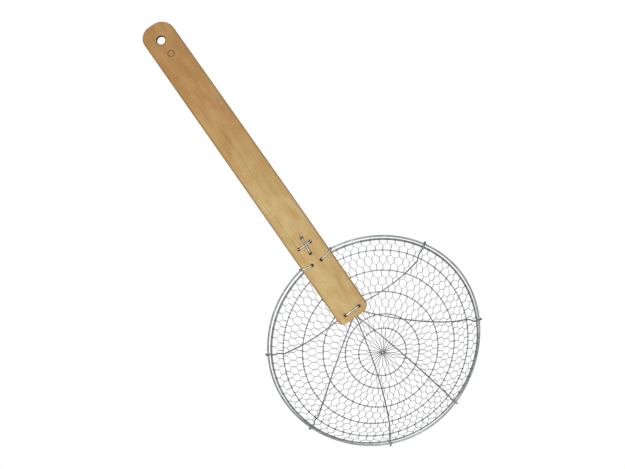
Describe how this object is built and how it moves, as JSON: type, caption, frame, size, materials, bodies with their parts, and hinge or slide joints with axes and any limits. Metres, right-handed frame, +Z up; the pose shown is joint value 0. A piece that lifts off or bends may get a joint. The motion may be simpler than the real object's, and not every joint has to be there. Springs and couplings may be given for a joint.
{
  "type": "wire strainer",
  "caption": "Large round wire strainer: a shallow netted bowl on wire rings and ribs, stitched with wire to a long flat bamboo handle that bends up over the rim.",
  "frame": {"origin": "on the table under the middle of the strainer's box, in the pose in which it rests", "axes": "+X from the handle's free end to the bowl, +Y to the left looking along +X, +Z up from the table"},
  "size_m": [0.5092, 0.2286, 0.116],
  "materials": {
    "bamboo": "satin",
    "galvanised_wire": "satin",
    "netting": "satin",
    "stitch_wire": "satin"
  },
  "bodies": {
    "root": {"bamboo_handle": "bamboo", "rim_ring_outer": "galvanised_wire", "rim_ring_inner": "galvanised_wire", "net_ring_1": "galvanised_wire", "net_ring_2": "galvanised_wire", "net_ring_3": "galvanised_wire", "net_ring_4": "galvanised_wire", "net_ring_5": "galvanised_wire", "net_band_hub": "netting", "net_band_1": "netting", "net_band_2": "netting", "net_band_3": "netting", "net_band_4": "netting", "net_band_rim": "netting", "hub_knot": "netting", "rib_wire_cross": "galvanised_wire", "rib_wire_side": "galvanised_wire", "rib_wire_front": "galvanised_wire", "cross_stitch_long": "stitch_wire", "cross_stitch_short": "stitch_wire", "rim_stitch_left": "stitch_wire", "rim_stitch_right": "stitch_wire", "tip_stitch": "stitch_wire"}
  },
  "joints": []
}
